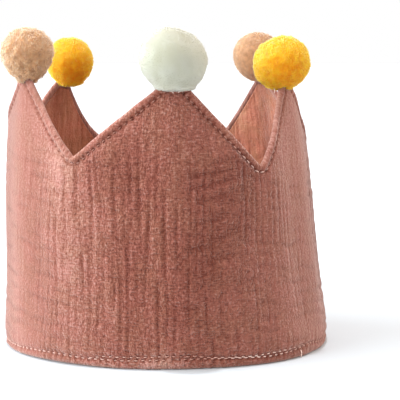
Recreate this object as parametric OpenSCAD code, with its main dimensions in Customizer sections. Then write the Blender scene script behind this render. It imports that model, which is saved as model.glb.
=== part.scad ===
// Soft cloth crown with five points and a yarn pompom on each point.
// It stands on its hem: +Z is up, the front point faces -Y, and the origin is on the floor
// in the middle of the band. Angles run round the band from the front, positive to +X.

/* [Cloth] */
// Thickness of one layer of cloth
cloth_t = 1.0; // [1:0.1:1.4]
// Gap between the outer cloth and the lining
layer_gap = 0.3; // [0.2:0.05:0.5]
// How far the lining stays back from the hem and from the top edge
lining_inset = 0.6; // [0.3:0.1:1.5]
// Height of the low places between the points, taken as an offset to the table
valley_offset = 0; // [-8:0.5:4]
// Depth of the broad soft ribs in the cloth
rib_depth = 0.35; // [0:0.05:0.5]
// Number of broad soft ribs round the band
rib_count = 17; // [9:1:24]

/* [Pompoms] */
// Clear distance between a pompom and the cloth tip inside it
seat_gap = 0.3; // [0.2:0.05:0.6]
// How deep the cloth tip reaches into its pompom
seat_depth = 2.6; // [1.5:0.1:4]
// Height of the yarn locks above the head
lock_h = 1.5; // [0.5:0.1:2.5]
// Size of each lock's outer face, as a share of its foot
lock_face = 0.5; // [0.3:0.05:0.7]

/* [Fineness] */
// Angle between two columns of the cloth mesh, about
column_step = 5.5; // [5:0.5:12]
// Number of rows in the cloth mesh
row_count = 10; // [6:1:12]
// Locks in each ring of a pompom
lock_columns = 12; // [8:1:14]
// Rings of locks on a pompom
lock_rings = 7; // [5:1:8]

/* [Hidden] */

// How far the outside of the band reaches from the middle at each height, in millimetres.
// height, left, right, front, back
SECTIONS = [
    [0,   75.6, 75.7, 62.8, 65.0],
    [8,   76.4, 76.4, 64.8, 66.0],
    [40,  74.8, 72.1, 66.2, 66.3],
    [88,  74.3, 66.8, 65.2, 65.4],
    [128, 71.3, 60.3, 60.0, 59.6]];
LEFT = 1;
RIGHT = 2;
FRONT = 3;
BACK = 4;

// The broad ribs: height over which they fade out towards the hem, how far they lean with height
// in degrees per millimetre, and the second set that makes them uneven, as a share of the first,
// by how many ribs it has fewer, and its start in degrees
rib_fade = 30;
rib_lean = 0.5;
rib_second = 0.6;
rib_fewer = 6;
rib_start = 70;

// The low places of the top edge. The stretch at the back between the first and the last is level.
// angle, height
VALLEYS = [
    [-162,  88.0],
    [-100,  88.0],
    [-32.6, 91.4],
    [37.9,  87.4],
    [97,    88.0],
    [159,   88.0]];

// The points, each between two rows of the table above. A bow over one curves an edge inwards, one under it outwards.
// angle, height of the full tip, bow of the left edge, bow of the right edge
POINTS = [
    [-134.1, 126.2, 1.80, 1.00],
    [-61,    128.6, 0.75, 1.00],
    [3.5,    127.5, 1.00, 1.00],
    [60.7,   127.2, 1.12, 0.90],
    [127,    128.6, 0.75, 1.00]];
BACK_LEFT = 0;
SIDE_LEFT = 1;
MIDDLE = 2;
SIDE_RIGHT = 3;
BACK_RIGHT = 4;
ANGLE = 0;
TIP_Z = 1;
BOW_LEFT = 2;
BOW_RIGHT = 3;

// Broad dents and swellings of the cloth; a positive depth stands proud.
// angle, height, half width in degrees, half height, depth
FOLDS = [
    [28,   58,  16, 11, -1.1],
    [14,   40,  9,  20,  0.7],
    [41,   70,  7,  22,  0.9],
    [-33,  66,  9,  26,  0.8],
    [-14,  96,  13, 16,  0.7],
    [62,   52,  12, 30, -0.7],
    [-78,  60,  12, 34,  0.6],
    [-118, 45,  14, 24, -0.9],
    [112,  50,  12, 26,  0.8],
    [162,  42,  18, 22, -0.9],
    [42,   2,   20, 16,  1.6]];

// The pompoms, in the order of the points; egg makes the lower end narrower, and flat is how much
// is taken off on the side that faces the given direction.
// height of the middle, shift inwards, width, depth, height, egg, flat, flat angle, flat rise
POMPOMS = [
    [131.8, 4.3, 23.4, 23.6, 23.8, 0.04, 1.1, -150, 40],
    [134.8, 1.4, 23.8, 23.8, 24.2, 0.12, 0.4, 40,   -35],
    [132.9, 0.0, 29.4, 29.0, 27.8, 0.02, 1.9, 62,   48],
    [131.4, 1.4, 25.4, 25.0, 23.6, 0.03, 1.2, -60,  40],
    [134.3, 3.9, 24.0, 23.6, 24.0, 0.05, 0.8, 150,  30]];
MID_Z = 0;
INWARD = 1;
WIDTH = 2;
DEPTH = 3;
HEIGHT = 4;
EGG = 5;
FLAT = 6;
FLAT_ANGLE = 7;
FLAT_RISE = 8;
// How sharply the flat ends at its rim
flat_power = 4;

// Room in a pompom's slot for the curve and the lean of its cloth tip
slot_slack = 0.75;
// Length of the slot, which reaches out through the lower end of the pompom
slot_h = 6;

// How far the locks stray: sideways and up or down in degrees, and in height as a share of the pompom
lock_sway = 5;
lock_drift = 3;
lock_uneven = 0.025;

// Index of the table row at or below a key
function row_below(tab, key, k = 0) =
    (k >= len(tab) - 2 || key < tab[k + 1][0]) ? k : row_below(tab, key, k + 1);

// Slope of a table column at row k
function slope_at(tab, col, k) =
    let (lo = max(k - 1, 0), hi = min(k + 1, len(tab) - 1))
    (tab[hi][col] - tab[lo][col]) / (tab[hi][0] - tab[lo][0]);

// Value of a table column at a key, on a smooth curve through the rows
function smooth_value(tab, col, key) =
    let (k = row_below(tab, key),
         h = tab[k + 1][0] - tab[k][0],
         t = min(1, max(0, (key - tab[k][0]) / h)),
         from = tab[k][col],
         to = tab[k + 1][col])
    (2 * t * t * t - 3 * t * t + 1) * from + (t * t * t - 2 * t * t + t) * h * slope_at(tab, col, k)
    + (3 * t * t - 2 * t * t * t) * to + (t * t * t - t * t) * h * slope_at(tab, col, k + 1);

// Smallest difference between two angles
function turn(a, b) = let (d = a - b) d - 360 * floor((d + 180) / 360);

// How far the ribs and folds push the cloth outwards at an angle and height
function push(a, z) =
    rib_depth * min(1, z / rib_fade)
    * (sin(rib_count * a + rib_lean * z) + rib_second * sin((rib_count - rib_fewer) * a + rib_start))
    + sum_of([for (f = FOLDS) f[4] * exp(-pow(turn(a, f[0]) / f[2], 2) - pow((z - f[1]) / f[3], 2))]);
function sum_of(v, k = 0) = k >= len(v) ? 0 : v[k] + sum_of(v, k + 1);

// Direction straight out of the band at an angle and height
function outward(a, z) =
    let (wide = smooth_value(SECTIONS, a > 0 ? RIGHT : LEFT, z),
         deep = smooth_value(SECTIONS, abs(a) < 90 ? FRONT : BACK, z),
         v = [sin(a) / wide, -cos(a) / deep, 0])
    v / norm(v);

// A point of the band's wall, the given depth below its outside
function wall(a, z, below = 0) =
    let (wide = smooth_value(SECTIONS, a > 0 ? RIGHT : LEFT, z),
         deep = smooth_value(SECTIONS, abs(a) < 90 ? FRONT : BACK, z))
    [wide * sin(a), -deep * cos(a), z] + (push(a, z) - below) * outward(a, z);

// Height at which each tip is cut off inside its pompom
function cut_z(k) = POMPOMS[k][MID_Z] - POMPOMS[k][HEIGHT] / 2 + seat_depth;

// Height of the top edge between a valley and a tip, t of the way to the tip
function edge_z(valley, tip_z, bow, t) =
    valley[1] + valley_offset + (tip_z - valley[1] - valley_offset) * pow(t, bow);

// How far along its edge a tip is cut off
function cut_t(valley, k, bow) =
    let (low = valley[1] + valley_offset)
    pow((cut_z(k) - low) / (POINTS[k][TIP_Z] - low), 1 / bow);

// Angle t of the way from a valley to a tip
function between(from, to, t) = from + (to - from) * t;

// Number of mesh columns for a stretch of the band
function stretch_columns(span) = max(2, round(abs(span) / column_step));

// Columns of the rising and the falling edge of a point, each as [angle, top height]
function rising(k) =
    let (v = VALLEYS[k], p = POINTS[k], bow = p[BOW_LEFT], end = cut_t(v, k, bow),
         n = stretch_columns((p[ANGLE] - v[ANGLE]) * end))
    [for (i = [0:n - 1]) [between(v[ANGLE], p[ANGLE], end * i / n),
                          edge_z(v, p[TIP_Z], bow, end * i / n)]];
function falling(k) =
    let (v = VALLEYS[k + 1], p = POINTS[k], bow = p[BOW_RIGHT], end = cut_t(v, k, bow),
         n = stretch_columns((v[ANGLE] - p[ANGLE]) * end))
    [for (i = [n:-1:1]) [between(v[ANGLE], p[ANGLE], end * i / n),
                         edge_z(v, p[TIP_Z], bow, end * i / n)]];
// The cut end of a tip: its first corner and its middle
function tip_end(k) =
    let (v = VALLEYS[k], p = POINTS[k], end = cut_t(v, k, p[BOW_LEFT]))
    [[between(v[ANGLE], p[ANGLE], end), cut_z(k)], [p[ANGLE], cut_z(k)]];

// The level stretch at the back, from the last valley round to the first
function back_columns() =
    let (from = VALLEYS[len(VALLEYS) - 1],
         to = VALLEYS[0][ANGLE] + 360,
         n = stretch_columns(to - from[ANGLE]))
    [for (i = [0:n - 1]) [turn(between(from[ANGLE], to, i / n), 0), from[1] + valley_offset]];

COLUMNS = [
    for (k = [0:len(POINTS) - 1]) each concat(rising(k), tip_end(k), falling(k)),
    each back_columns()];

// One layer of cloth: a closed wall between two depths below the band's outside
module cloth_layer(from, to, inset) {
    cols = len(COLUMNS);
    rows = row_count + 1;
    side = cols * rows;
    heights = [for (c = COLUMNS) [for (r = [0:row_count]) inset + (c[1] - 2 * inset) * r / row_count]];
    pts = [
        for (below = [from, to], c = [0:cols - 1], r = [0:row_count])
            wall(COLUMNS[c][0], heights[c][r], below)];
    function at(c, r, s) = s * side + (c % cols) * rows + r;
    faces = [
        for (c = [0:cols - 1], r = [0:row_count - 1]) each [
            [at(c, r, 0), at(c, r + 1, 0), at(c + 1, r + 1, 0)],
            [at(c, r, 0), at(c + 1, r + 1, 0), at(c + 1, r, 0)],
            [at(c, r, 1), at(c + 1, r + 1, 1), at(c, r + 1, 1)],
            [at(c, r, 1), at(c + 1, r, 1), at(c + 1, r + 1, 1)]],
        for (c = [0:cols - 1]) each [
            [at(c, row_count, 0), at(c, row_count, 1), at(c + 1, row_count, 1)],
            [at(c, row_count, 0), at(c + 1, row_count, 1), at(c + 1, row_count, 0)],
            [at(c, 0, 0), at(c + 1, 0, 0), at(c + 1, 0, 1)],
            [at(c, 0, 0), at(c + 1, 0, 1), at(c, 0, 1)]]];
    polyhedron(points = pts, faces = faces, convexity = 12);
}

// Middle of a pompom: above its tip, moved towards the axis of the crown
function pompom_mid(k) =
    let (tip = wall(POINTS[k][ANGLE], POINTS[k][TIP_Z]), flat_tip = [tip[0], tip[1], 0])
    flat_tip * (1 - POMPOMS[k][INWARD] / norm(flat_tip)) + [0, 0, POMPOMS[k][MID_Z]];

// Unit vector at an angle round the pompom and a fall from its top
function aim(a, fall) = [sin(a) * sin(fall), -cos(a) * sin(fall), cos(fall)];

// Distance from a pompom's middle to its outer form in a direction
function pompom_reach(k, d) =
    let (p = POMPOMS[k],
         egg = 1 + p[EGG] * d[2],
         r = 1 / norm([d[0] * 2 / p[WIDTH] / egg, d[1] * 2 / p[DEPTH] / egg, d[2] * 2 / p[HEIGHT]]),
         facing = d * aim(p[FLAT_ANGLE], 90 - p[FLAT_RISE]))
    r - p[FLAT] * pow(max(0, facing), flat_power);

// A steady pseudo-random value from -1 to 1
function scatter(i) = let (v = sin(i * 127.1 + 31.7) * 437.585) 2 * (v - floor(v)) - 1;

// A pompom: a head whose surface is laid out in staggered diamond cells, each raised to a lock
module pompom(k) {
    n = lock_columns;
    fall_step = 180 / (lock_rings + 1);
    az_step = 360 / n;
    // The feet of the locks, from the top of the head down to its bottom
    top = [0, 0, pompom_reach(k, [0, 0, 1]) - lock_h];
    bottom = [0, 0, lock_h - pompom_reach(k, [0, 0, -1])];
    rings = [
        for (j = [0:lock_rings - 1], i = [0:n - 1])
            let (seed = (k * lock_rings + j) * n + i,
                 a = az_step * (i + (j % 2) / 2) + lock_sway * scatter(2 * seed),
                 d = aim(a, fall_step * (j + 1) + lock_drift * scatter(2 * seed + 1)))
            d * (pompom_reach(k, d) - lock_h)];
    base = concat([top], rings, [bottom]);
    last = len(base) - 1;
    function at(i, j) =
        j < 0 ? 0 : j >= lock_rings ? last : 1 + j * n + (i % n);
    // Each cell as the four feet of its lock: left, upper, right, lower
    cells = [
        for (j = [0:lock_rings - 1], i = [0:n - 1])
            let (shift = j % 2) [at(i, j), at(i + shift, j - 1), at(i + 1, j), at(i + shift, j + 1)]];
    // The outer face of each lock
    ends = [
        for (c = [0:len(cells) - 1])
            let (feet = [for (v = cells[c]) base[v]],
                 mid = (feet[0] + feet[1] + feet[2] + feet[3]) / 4,
                 d = mid / norm(mid),
                 lift = pompom_reach(k, d) * (1 + lock_uneven * scatter(k * len(cells) + c)) / norm(mid))
            each [for (f = feet) (mid + (f - mid) * lock_face) * lift]];
    first = len(base);
    faces = [
        for (c = [0:len(cells) - 1])
            let (f = cells[c], t = [for (q = [0:3]) first + 4 * c + q])
            each concat(
                [[t[0], t[1], t[2]], [t[0], t[2], t[3]]],
                [for (q = [0:3]) let (w = (q + 1) % 4) each [[f[q], f[w], t[w]], [f[q], t[w], t[q]]]])];
    // The slot that the cloth tip reaches into
    tip = wall(POINTS[k][ANGLE], cut_z(k), cloth_t + layer_gap / 2);
    out = outward(POINTS[k][ANGLE], cut_z(k));
    slot_t = 2 * cloth_t + layer_gap + 2 * (seat_gap + slot_slack);
    slot_w = 2 * POMPOMS[k][WIDTH];
    difference() {
        translate(pompom_mid(k))
            polyhedron(points = concat(base, ends), faces = faces, convexity = 6);
        translate([tip[0], tip[1], cut_z(k) + seat_gap - slot_h])
            rotate([0, 0, atan2(out[1], out[0])])
                translate([-slot_t / 2, -slot_w / 2, 0])
                    cube([slot_t, slot_w, slot_h]);
    }
}

// The outer layer of gauze
module outer_band() {
    color("#B37B6E") cloth_layer(0, cloth_t, 0);
}

// The inner layer of the same gauze, which shows inside the back points
module lining() {
    color("#A86C58") cloth_layer(cloth_t + layer_gap, 2 * cloth_t + layer_gap, lining_inset);
}

// The cream pompom on the front point
module pompom_front() {
    color("#E6E8DA") pompom(MIDDLE);
}

// The tan pompom on the left point
module pompom_left() {
    color("#D2A482") pompom(SIDE_LEFT);
}

// The yellow pompom on the right point
module pompom_right() {
    color("#F0B53A") pompom(SIDE_RIGHT);
}

// The yellow pompom on the back left point
module pompom_back_left() {
    color("#E8A62E") pompom(BACK_LEFT);
}

// The tan pompom on the back right point
module pompom_back_right() {
    color("#D4A888") pompom(BACK_RIGHT);
}

outer_band();
lining();
pompom_front();
pompom_left();
pompom_right();
pompom_back_left();
pompom_back_right();
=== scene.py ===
import bmesh
import bpy
import math
import numpy as np
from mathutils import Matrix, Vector, kdtree, noise


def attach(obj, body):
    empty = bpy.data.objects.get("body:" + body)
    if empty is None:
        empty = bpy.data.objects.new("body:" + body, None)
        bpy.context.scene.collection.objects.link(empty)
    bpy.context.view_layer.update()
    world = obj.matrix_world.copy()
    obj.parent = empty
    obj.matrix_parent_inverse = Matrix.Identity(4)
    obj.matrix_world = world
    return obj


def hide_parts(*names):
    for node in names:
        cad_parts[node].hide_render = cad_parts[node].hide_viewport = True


# A soft birthday crown of cotton double gauze with a yarn pompom on each of its five points.
# Lengths in the dictionaries are in millimetres, angles in degrees round the crown from the front
# point, positive to +X. Meshes are in metres.

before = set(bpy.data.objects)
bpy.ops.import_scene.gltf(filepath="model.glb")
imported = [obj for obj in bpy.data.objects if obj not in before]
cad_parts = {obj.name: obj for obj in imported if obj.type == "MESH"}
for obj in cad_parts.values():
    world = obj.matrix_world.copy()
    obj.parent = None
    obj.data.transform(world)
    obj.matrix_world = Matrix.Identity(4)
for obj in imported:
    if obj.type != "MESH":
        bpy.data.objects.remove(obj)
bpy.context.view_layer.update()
mm = 0.001
print("frame loaded")


# Small helpers

def linearColour(hexText):
    channels = [int(hexText[i:i + 2], 16) / 255 for i in (1, 3, 5)]
    return [c / 12.92 if c <= 0.04045 else ((c + 0.055) / 1.055) ** 2.4 for c in channels] + [1]


def addNode(tree, kind, inputs=None, stops=(), **settings):
    # an input is a plain value, a socket, or a node, which then gives its first output;
    # the stops are of a colour ramp
    node = tree.nodes.new(kind)
    for name, value in settings.items():
        setattr(node, name, value)
    for key, value in (inputs or {}).items():
        if isinstance(value, bpy.types.Node):
            value = value.outputs[0]
        if isinstance(value, bpy.types.NodeSocket):
            tree.links.new(value, node.inputs[key])
        else:
            node.inputs[key].default_value = value
    for number, (place, hexText) in enumerate(stops):
        elements = node.color_ramp.elements
        element = elements[number] if number < len(elements) else elements.new(place)
        element.position = place
        element.color = linearColour(hexText)
    return node


def newObject(name, data):
    made = bpy.data.objects.new(name, data)
    bpy.context.scene.collection.objects.link(made)
    return made


def newMesh(name, points, faces, edges=()):
    # a smoothly shaded mesh from points in millimetres
    mesh = bpy.data.meshes.new(name)
    mesh.from_pydata((np.array(points, float) * mm).tolist(), edges, faces)
    mesh.polygons.foreach_set("use_smooth", [True] * len(mesh.polygons))
    return mesh


def setPointValues(mesh, name, values):
    # a value for each point, or one for all
    layer = mesh.attributes.new(name, "FLOAT", "POINT")
    layer.data.foreach_set("value", np.full(len(mesh.vertices), np.ravel(values), np.float32))


def direction(angle, rise):
    # the unit vector towards an angle round the crown and an angle up from level
    a, b = math.radians(angle), math.radians(rise)
    return np.array([math.sin(a) * math.cos(b), -math.cos(a) * math.cos(b), math.sin(b)])


# The camera stands a little above the pompoms' middles and looks down at the front point

camera = {
    "distance": 600.0,
    "height": 133.1,
    "lookDown": 6.32,
    "lookRight": 1.53,
    "lens": 114.66,
    "sensor": 36.0,
    "sees": (10, 200000),  # nearest and farthest that it shows
}


def makeCamera():
    data = bpy.data.cameras.new("camera")
    data.sensor_fit = "HORIZONTAL"
    data.sensor_width = camera["sensor"]
    data.lens = camera["lens"]
    data.clip_start, data.clip_end = (c * mm for c in camera["sees"])
    made = newObject("camera", data)
    made.location = (0, -camera["distance"] * mm, camera["height"] * mm)
    made.rotation_euler = (math.radians(90 - camera["lookDown"]), 0, math.radians(-camera["lookRight"]))
    bpy.context.scene.camera = made


makeCamera()
print("camera placed")


# The form of the band, from the same sizes as its solids

band = {
    # height, left, right, front, back: how far the outside reaches from the middle
    "sections": [
        [0, 75.6, 75.7, 62.8, 65.0],
        [8, 76.4, 76.4, 64.8, 66.0],
        [40, 74.8, 72.1, 66.2, 66.3],
        [88, 74.3, 66.8, 65.2, 65.4],
        [128, 71.3, 60.3, 60.0, 59.6]],
    # angle, height of the low places of the top edge
    "valleys": [[-162, 88.0], [-100, 88.0], [-32.6, 91.4], [37.9, 87.4], [97, 88.0], [159, 88.0]],
    # angle, height of the full tip, bow of the left edge, bow of the right edge, height of the cut
    "points": [
        [-134.1, 126.2, 1.80, 1.00, 122.5],
        [-61, 128.6, 0.75, 1.00, 125.3],
        [3.5, 127.5, 1.00, 1.00, 121.6],
        [60.7, 127.2, 1.12, 0.90, 122.2],
        [127, 128.6, 0.75, 1.00, 124.9]],
    # angle, height, half width in degrees, half height, depth of the broad dents and swellings
    "folds": [
        [28, 58, 16, 11, -1.1],
        [14, 40, 9, 20, 0.7],
        [41, 70, 7, 22, 0.9],
        [-33, 66, 9, 26, 0.8],
        [-14, 96, 13, 16, 0.7],
        [62, 52, 12, 30, -0.7],
        [-78, 60, 12, 34, 0.6],
        [-118, 45, 14, 24, -0.9],
        [112, 50, 12, 26, 0.8],
        [162, 42, 18, 22, -0.9],
        [42, 2, 20, 16, 1.6]],
    # broad ribs: depth, number round the band, degrees of lean per millimetre, height they fade over
    "ribs": {"depth": 0.35, "count": 17, "lean": 0.5, "fade": 30, "second": 0.6, "fewer": 6, "start": 70},
    "girth": 444.8,        # length of the band round its middle
    "layer": 1.0,          # thickness of one layer of cloth
    "gap": 0.3,            # between the two layers
}
left, right, front, back = 1, 2, 3, 4      # columns of the sections


def smoothColumn(table, column, key):
    # a smooth curve through one column of a table, read at the key in its first column
    rows = np.array(table, float)
    x, y = rows[:, 0], rows[:, column]
    slope = np.empty(len(x))
    slope[1:-1] = (y[2:] - y[:-2]) / (x[2:] - x[:-2])
    slope[0] = (y[1] - y[0]) / (x[1] - x[0])
    slope[-1] = (y[-1] - y[-2]) / (x[-1] - x[-2])
    k = np.clip(np.searchsorted(x, key, "right") - 1, 0, len(x) - 2)
    h = x[k + 1] - x[k]
    t = np.clip((key - x[k]) / h, 0, 1)
    return ((2 * t**3 - 3 * t**2 + 1) * y[k] + (t**3 - 2 * t**2 + t) * h * slope[k]
            + (3 * t**2 - 2 * t**3) * y[k + 1] + (t**3 - t**2) * h * slope[k + 1])


def turned(angle):
    return (angle + 180) % 360 - 180


def fading(distance, reach):
    # 1 at the place itself, and little is left past the reach
    return np.exp(-(distance / reach) ** 2)


def addHumps(start, table, angle, height):
    # adds soft humps, from rows of angle, height, half width in degrees, half height and amount
    for atAngle, atHeight, halfAngle, halfHeight, amount in table:
        start = start + amount * np.exp(-(turned(angle - atAngle) / halfAngle) ** 2
                                        - ((height - atHeight) / halfHeight) ** 2)
    return start


def broadForm(angle, height):
    ribs = band["ribs"]
    wave = (np.sin(np.radians(ribs["count"] * angle + ribs["lean"] * height))
            + ribs["second"] * np.sin(np.radians((ribs["count"] - ribs["fewer"]) * angle + ribs["start"])))
    return addHumps(ribs["depth"] * np.minimum(1, height / ribs["fade"]) * wave, band["folds"], angle, height)


def wallPoint(angle, height, proud=0):
    # a point of the wall and the direction straight out of it; proud is measured from the outside
    sections = band["sections"]
    wide = np.where(angle > 0, smoothColumn(sections, right, height), smoothColumn(sections, left, height))
    deep = np.where(abs(angle) < 90, smoothColumn(sections, front, height),
                    smoothColumn(sections, back, height))
    s, c = np.sin(np.radians(angle)), np.cos(np.radians(angle))
    out = np.stack([s / wide, -c / deep, 0 * s], -1)
    out = out / np.linalg.norm(out, axis=-1, keepdims=True)
    base = np.stack([wide * s, -deep * c, height + 0 * s], -1)
    return base + (broadForm(angle, height) + proud)[..., None] * out, out


def topHeight(angle, cut=True):
    top = np.full(np.shape(angle), float(band["valleys"][0][1]))
    for k, (tipAngle, tip, bowLeft, bowRight, cutHeight) in enumerate(band["points"]):
        (fromAngle, fromHeight), (toAngle, toHeight) = band["valleys"][k], band["valleys"][k + 1]
        rise = np.clip((angle - fromAngle) / (tipAngle - fromAngle), 0, 1)
        fall = np.clip((toAngle - angle) / (toAngle - tipAngle), 0, 1)
        up = fromHeight + (tip - fromHeight) * rise ** bowLeft
        down = toHeight + (tip - toHeight) * fall ** bowRight
        edge = np.where(angle <= tipAngle, up, down)
        if cut:
            edge = np.minimum(edge, cutHeight)
        top = np.where((angle >= fromAngle) & (angle <= toAngle), edge, top)
    return top


# Crinkles of the gauze. A size of noise is how wide and how high its patches are.

crinkle = {
    "grooves": 138,        # round the band, about 3.2 mm apart
    "depth": 0.36,
    "grooveHalf": 0.6,
    "grooveLong": 26.0,    # how high a groove runs before it fades
    "grooveShare": (0.45, 0.8, 0.06),  # its mean strength, how much that varies, the least there is
    "wander": 0.9,         # how far a groove strays sideways
    "wanderSize": (8, 24),
    "jitter": 0.35,        # smaller strays, as a share of the wander
    "jitterSize": (3, 9),
    "fine": 0.2,           # depth of the short grooves between
    "fineHalf": 0.35,
    "fineSize": (1.25, 8.0),
    "pucker": 0.18,        # small puffs between the points where the two gauzes are caught
    "puckerSize": (1.5, 1.5),
    "swell": 0.2,
    "swellSize": (5.4, 26),
    "cross": 0.42,         # creases that cross the grooves
    "crossLeast": 0.25,    # their strength away from the places listed below
    "crossLean": 0.22,     # how far they sink along the band
    "crossSize": (6.0, 2.2),
    "broadCross": 1.6,
    "broadCrossSize": (13.0, 5.5),
    "levels": 5.4,         # from one level row of short creases to the next
    "levelHalf": 1.05,
    "levelDepth": 0.3,
    "levelLong": 9,
    "levelShare": (0.5, 0.8),  # mean strength and how much it varies
    "levelSink": 10,       # rows they sink by in one turn round the band, so that they meet
    "levelWaver": 1.6,
    "levelWaverSize": (9, 16),
    "levelSmooth": 0.6,    # how much stronger they are where the cloth lies smooth
    "stray": 0.5,          # how far the single creases waver
    "straySize": (6, 14),
    "fanReach": 22.0,      # the grooves gather towards the low places of the top edge
    "fanGather": 0.5,
    "calmFrom": 84.0,      # the crinkle fades over this height, up into the points
    "calmOver": 14.0,
    "calm": 0.65,          # how much of the grooves and of the level creases is gone there
    "levelCalm": 0.6,
    "paintedCreaseShade": {"fine": 0.35, "level": 0.42, "crease": 0.9},  # painted shade in the creases: how dark each looks next to a groove
}
# angle, height, half width in degrees, half height, how much stronger the crossing creases are
creased = [[22, 52, 15, 34, 1], [-2, 104, 14, 14, 1], [-60, 30, 14, 18, 1], [120, 60, 22, 30, 1],
           [-140, 50, 22, 24, 1]]
# single creases that show: angle and height of both ends, depth (less than nothing for a ridge), half width
creases = [
    [-25.4, 34, -25.2, 90, 0.5, 0.8], [-23.6, 8, -23.8, 86, -0.25, 0.7], [-17.4, 40, -17.2, 92, 0.62, 0.8],
    [-30.5, 60, -31, 90, 0.65, 0.8], [-35, 50, -35.5, 88, 0.45, 0.7], [-39.5, 30, -39.5, 70, 0.5, 0.8],
    [-28.5, 30, -28.5, 50, 0.5, 0.7], [-17.3, 26, -17, 42, 0.5, 0.7], [-21, 20, -21, 60, 0.5, 0.7],
    [-14.6, 20, -14.4, 60, 0.45, 0.7], [-12.3, 34, -12.2, 68, 0.62, 0.8], [-12, 70, -12.2, 94, 0.62, 0.8],
    [-9, 60, -8.9, 92, 0.62, 0.8], [-10, 22, -9.6, 50, 0.5, 0.7], [-7.2, 26, -4.9, 86, 0.62, 0.8],
    [-0.7, 36, -0.7, 78, 0.75, 0.8], [3.8, 40, 3.8, 72, 0.75, 0.8], [-3, 18, -2.6, 40, 0.5, 0.7],
    [29.7, 56, 29.7, 92, 0.6, 0.8], [7.5, 24, 7.6, 52, 0.55, 0.7], [15.3, -4, 15.3, 14, 0.9, 0.6],
    [34.5, 30, 34.5, 88, 0.3, 0.7], [37.2, 34, 37.2, 92, 0.3, 0.7], [39.8, 30, 39.8, 90, 0.3, 0.7],
    [42.4, 36, 42.4, 94, 0.3, 0.7], [45, 30, 45, 90, 0.3, 0.7], [47.7, 34, 47.7, 90, 0.3, 0.7],
    [50.4, 30, 50.4, 86, 0.3, 0.7], [-45, 56, -39.5, 92, -0.15, 0.9], [-58, 56, -52, 92, -0.15, 0.9],
    [-66, 34, -60, 84, -0.1, 1.0], [-50, 50, -45.5, 88, 0.15, 0.9],
    [8, 83.5, 26, 86.5, 1.0, 1.3], [7, 77.5, 27, 83, 1.15, 1.4], [10, 72.5, 26, 76.5, 0.95, 1.3],
    [15, 88, 27, 92, 0.55, 1.1], [8, 53, 17, 54.5, 0.6, 1.2], [11, 46.5, 25, 49.5, 0.6, 1.3],
    [10, 63, 23, 66.5, 0.6, 1.3], [16, 56, 27, 60, 0.55, 1.2], [4, 96, 14, 97, 0.4, 0.7],
    [-58, 18, -42, 19, 0.3, 0.7], [60, 30, 72, 31, 0.3, 0.7],
    [75, 40, 78, 84, 0.5, 0.8], [104, 20, 101, 80, 0.5, 0.8], [-104, 24, -99, 82, 0.5, 0.8],
    [150, 30, 152, 84, 0.5, 0.8], [172, 20, 169, 78, 0.45, 0.8], [-158, 24, -160, 82, 0.5, 0.8],
    [-128, 40, -125, 96, 0.45, 0.8], [126, 40, 129, 96, 0.45, 0.8]]
# painted light and shade over broad places: angle, height, half width in degrees, half height, and how much
# darker the colour is painted there (less than nothing paints it lighter)
paintedShadeAndLight = [
    [22, 64, 9, 28, 0.7], [14, 42, 7, 14, 0.4], [36, 70, 20, 50, 0.35], [8, 20, 30, 16, 0.35],
    [66, 36, 16, 24, 0.3], [83, 70, 12, 120, 1.6], [56, 92, 14, 14, -0.2], [-38, 88, 6, 16, -1.3],
    [-33, 50, 8, 40, -0.45], [-78, 70, 11, 120, 1.4], [-47, 45, 9, 45, 0.4], [-9, 50, 5, 40, 0.4],
    [-22, 88, 6, 12, 0.5], [-9, 88, 8, 14, 0.5], [30, 90, 6, 10, 0.7], [7, 50, 6, 40, 0.3],
    [-9, 1, 20, 4, -1.0], [-2, 1, 8, 5, -1.6], [38, 1, 18, 4, 0.9]]
# the same painted light and shade over broad places of the lining
liningPaintedShadeAndLight = [[127, 102, 6, 40, 1.0], [141, 108, 4, 12, -0.6], [-131, 112, 4, 12, 0.6]]
outerSide = {"seed": 11, "creases": creases, "paintedShadeAndLight": paintedShadeAndLight}
liningSide = {"seed": 41, "creases": [], "paintedShadeAndLight": liningPaintedShadeAndLight}
# angle, half width, how much of the relief is missing
smoother = [[-70, 33, 0.84], [66, 34, 0.62]]


def alongBand(angle):
    return np.radians(angle) * band["girth"] / (2 * math.pi)


def softNoise(along, height, cellWide, cellHigh, seed):
    # smooth random values from -1 to 1 that close up after one turn round the band
    wrap = round(band["girth"] / cellWide)
    rows, firstRow = 160, 20       # enough for the finest noise, with room below the hem
    grid = np.random.default_rng(seed).uniform(-1, 1, (wrap, rows))
    x = along / band["girth"] * wrap
    y = height / cellHigh + firstRow
    i, j = np.floor(x).astype(int), np.floor(y).astype(int)
    u, v = x - i, y - j
    u, v = u * u * (3 - 2 * u), v * v * (3 - 2 * v)
    low = grid[i % wrap, j % rows] * (1 - u) + grid[(i + 1) % wrap, j % rows] * u
    high = grid[i % wrap, (j + 1) % rows] * (1 - u) + grid[(i + 1) % wrap, (j + 1) % rows] * u
    return low * (1 - v) + high * v


def crispness(angle):
    # the cloth lies smoother where it is drawn round the sides
    return 1 - sum(amount * fading(turned(angle - at), half) for at, half, amount in smoother)


def creaseDepth(table, along, height):
    # how deep the single creases are, each fading out at its ends
    total = 0 * along
    for fromAngle, fromHeight, toAngle, toHeight, depth, half in table:
        start, end = (alongBand(fromAngle), fromHeight), (alongBand(toAngle), toHeight)
        run, rise = end[0] - start[0], end[1] - start[1]
        share = ((along - start[0]) * run + (height - start[1]) * rise) / (run ** 2 + rise ** 2)
        kept = np.clip(share, 0, 1)
        away = np.hypot(along - start[0] - kept * run, height - start[1] - kept * rise)
        total = total + depth * np.sqrt(np.clip(4 * kept * (1 - kept), 0, 1)) * fading(away, half)
    return total


def fromNearest(place, pitch):
    # how far off the nearest of lines one pitch apart is
    return ((place / pitch + 0.5) % 1 - 0.5) * pitch


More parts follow.
